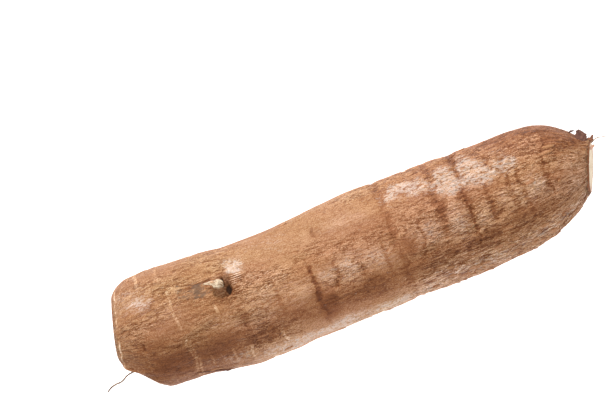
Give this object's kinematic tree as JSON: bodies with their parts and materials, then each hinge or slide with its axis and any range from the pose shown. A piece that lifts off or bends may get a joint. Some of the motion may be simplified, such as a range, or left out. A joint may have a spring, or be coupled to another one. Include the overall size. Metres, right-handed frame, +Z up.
{
  "type": "cassava root",
  "caption": "Fresh cassava root lying on its side: a long, blunt, bark-covered storage root, knife-trimmed at its ends, with a broken side root in its pit.",
  "frame": {"origin": "on the surface that the root lies on, below the middle of its length", "axes": "+X along the root from the tail end to the stem end, +Y across it, +Z up from the surface it lies on"},
  "size_m": [0.3003, 0.0691, 0.0611],
  "materials": {
    "bark": "rough fibrous bark with a thin, patchy wax"
  },
  "bodies": {
    "root": {"cassava_root": "bark"}
  },
  "joints": []
}
